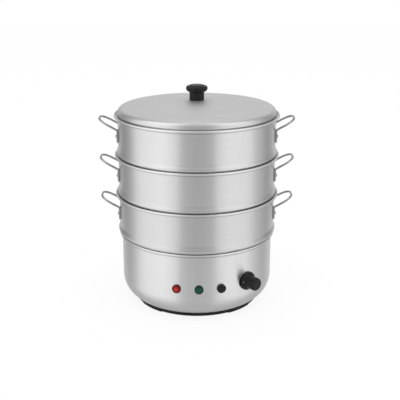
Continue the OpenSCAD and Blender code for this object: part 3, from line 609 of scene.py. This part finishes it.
tentRound = [    # degrees right of the camera, brightness
    (-180, 0.68), (-150, 0.53), (-130, 0.3), (-116, 0.35), (-106, 0.52), (-95, 0.84), (-84, 0.96), (-50, 1.04),
    (-32, 1.02), (0, 1.0), (28, 0.98), (45, 0.94), (74, 0.91), (96, 0.54), (116, 0.34), (150, 0.6), (180, 0.68),
]
tentFront = [    # the dark front, a share of the rest
    (-180, 1.0), (-48, 1.0), (-32, 0.88), (-17, 0.45), (0, 0.42), (18, 0.47), (28, 0.86), (42, 1.0), (180, 1.0),
]
tentUp = [       # height in metres, brightness
    (-9.0, 0.72), (-4.0, 0.85), (-2.2, 0.95), (-1.2, 1.04), (-0.5, 1.0),
    (0.6, 1.0), (1.2, 1.02), (2.0, 1.12), (3.0, 1.24),
]
tentSpread = [   # height, share of the angle: the front widens downwards and upwards
    (-2.0, 0.8), (-0.8, 0.84), (-0.62, 0.93), (-0.4, 0.97), (-0.2, 1.0), (0.2, 1.0), (1.0, 0.85), (3.0, 0.75),
]
floorUp = [      # height, share of the mirrored floor
    (-2.0, 1.0), (-0.8, 0.95), (-0.62, 0.5), (-0.5, 0.28), (-0.2, 0.0),
]


def makeWorld(s):
    world = bpy.data.worlds.new("surround")
    scene.world = world
    world.use_nodes = True
    tree = world.node_tree
    tree.nodes.clear()
    out = newNode(tree, "ShaderNodeOutputWorld", (600, 0))
    back = newNode(tree, "ShaderNodeBackground", (300, 0))
    back.inputs["Color"].default_value = (1, 1, 1, 1)
    back.inputs["Strength"].default_value = s["surround"]
    tree.links.new(back.outputs[0], out.inputs[0])


def viewShare(tree):
    # 1 for what the camera, a mirror or a lens sees
    path = newNode(tree, "ShaderNodeLightPath", (-900, 300))
    seen = mathNode(tree, "MAXIMUM", path.outputs["Is Camera Ray"], path.outputs["Is Glossy Ray"])
    return mathNode(tree, "MAXIMUM", seen, path.outputs["Is Transmission Ray"])


def makeFloor(s):
    mat, tree, out = bareMaterial("floorPaper")
    paper = newNode(tree, "ShaderNodeBsdfDiffuse", (0, 100))
    paper.inputs["Color"].default_value = (s["floorTone"], s["floorTone"], s["floorTone"], 1)
    white = newNode(tree, "ShaderNodeEmission", (0, -100))
    mix = newNode(tree, "ShaderNodeMixShader", (300, 0))
    tree.links.new(mathNode(tree, "MULTIPLY", viewShare(tree), s["floorLift"]), mix.inputs[0])
    tree.links.new(paper.outputs[0], mix.inputs[1])
    tree.links.new(white.outputs[0], mix.inputs[2])
    tree.links.new(mix.outputs[0], out.inputs[0])
    bm = bmesh.new()
    bmesh.ops.create_grid(bm, x_segments=1, y_segments=1, size=s["floorSize"] / 2)
    floor = addObject("floor", bm, mat)
    floor.visible_glossy = False     # the tent below it is mirrored instead


def mirrorOnly(obj):
    obj.visible_camera = False
    obj.visible_diffuse = False
    obj.visible_shadow = False


def tentCloth(s):
    mat, tree, out = bareMaterial("tentCloth")
    glow = newNode(tree, "ShaderNodeEmission", (300, 0))
    coords = newNode(tree, "ShaderNodeTexCoord", (-1200, 0))
    split = newNode(tree, "ShaderNodeSeparateXYZ", (-1000, 0))
    tree.links.new(coords.outputs["Object"], split.inputs[0])
    front = mathNode(tree, "MULTIPLY", split.outputs[1], -1.0)
    angle = mathNode(tree, "ARCTAN2", split.outputs[0], front)
    span = s["tentHigh"] - s["tentLow"]
    rise = mathNode(tree, "DIVIDE", mathNode(tree, "SUBTRACT", split.outputs[2], s["tentLow"]), span)

    def byHeight(stops, at):
        return ramp(tree, rise, [((h - s["tentLow"]) / span, v) for h, v in stops], at)

    def byTurn(value, stops, at):
        turn = mathNode(tree, "ADD", mathNode(tree, "DIVIDE", value, 2 * math.pi), 0.5)
        return ramp(tree, turn, [((a + 180) / 360, v) for a, v in stops], at, True)

    spread = mathNode(tree, "MULTIPLY", angle, byHeight(tentSpread, (-300, 800)))
    sides = byTurn(angle, tentRound, (-300, 200))
    around = mathNode(tree, "MULTIPLY", sides, byTurn(spread, tentFront, (-300, 500)))
    spare = mathNode(tree, "MULTIPLY", mathNode(tree, "SUBTRACT", 1.0, around), s["floorGlow"])
    filled = mathNode(tree, "ADD", around, mathNode(tree, "MULTIPLY", spare, byHeight(floorUp, (-300, -500))))
    bright = mathNode(tree, "MULTIPLY", filled, byHeight(tentUp, (-300, -200)))
    tree.links.new(bright, glow.inputs["Strength"])
    tree.links.new(glow.outputs[0], out.inputs[0])
    return mat


def makeTent(s):
    bm = bmesh.new()
    bmesh.ops.create_circle(bm, segments=s["tentSegments"], radius=s["tentRadius"])
    bmesh.ops.translate(bm, verts=bm.verts, vec=(0, 0, s["tentLow"]))
    grown = bmesh.ops.extrude_edge_only(bm, edges=bm.edges[:])
    upper = ofKind(grown["geom"], bmesh.types.BMVert)
    bmesh.ops.translate(bm, verts=upper, vec=(0, 0, s["tentHigh"] - s["tentLow"]))
    bmesh.ops.contextual_create(bm, geom=ofKind(grown["geom"], bmesh.types.BMEdge))    # its ceiling
    tent = addObject("lightTent", bm, tentCloth(s))
    mirrorOnly(tent)


def makeUnderGlow(s):
    # the floor close round the base, as the metal mirrors it
    mat, tree, out = bareMaterial("shadedFloor")
    glow = newNode(tree, "ShaderNodeEmission", (0, 100))
    glow.inputs["Strength"].default_value = s["underGlow"]
    clear = newNode(tree, "ShaderNodeBsdfTransparent", (0, -100))
    mix = newNode(tree, "ShaderNodeMixShader", (300, 0))
    coords = newNode(tree, "ShaderNodeTexCoord", (-900, 0))
    length = newNode(tree, "ShaderNodeVectorMath", (-700, 0), operation="LENGTH")
    tree.links.new(coords.outputs["Object"], length.inputs[0])
    tree.links.new(smoothStep(tree, length.outputs["Value"], *s["underReach"]), mix.inputs[0])
    tree.links.new(glow.outputs[0], mix.inputs[1])
    tree.links.new(clear.outputs[0], mix.inputs[2])
    tree.links.new(mix.outputs[0], out.inputs[0])
    bm = bmesh.new()
    bmesh.ops.create_circle(bm, cap_ends=True, segments=s["underSegments"], radius=s["underReach"][1])
    bmesh.ops.translate(bm, verts=bm.verts, vec=(0, 0, -s["underDepth"]))
    disc = addObject("underGlow", bm, mat)
    mirrorOnly(disc)


lampAim = Vector((0, 0, 0.2))
lamps = [
    {"name": "softBoxLeft", "at": (-1.9, -1.7, 1.9), "size": 1.6, "power": 8},
    {"name": "softBoxRight", "at": (1.9, -1.5, 1.7), "size": 1.4, "power": 5},
    {"name": "softBoxTop", "at": (0.0, 0.2, 2.6), "size": 2.2, "power": 10},
]


def makeLamp(s):
    data = bpy.data.lights.new(s["name"], "AREA")
    data.shape = "SQUARE"
    data.size = s["size"]
    data.energy = s["power"]
    lamp = bpy.data.objects.new(s["name"], data)
    scene.collection.objects.link(lamp)
    lamp.location = s["at"]
    aim = lampAim - Vector(s["at"])
    lamp.rotation_euler = aim.to_track_quat("-Z", "Y").to_euler()
    lamp.visible_glossy = False      # the metal mirrors the tent alone


makeWorld(studio)
makeFloor(studio)
makeTent(studio)
makeUnderGlow(studio)
for lamp in lamps:
    makeLamp(lamp)
print("studio set")
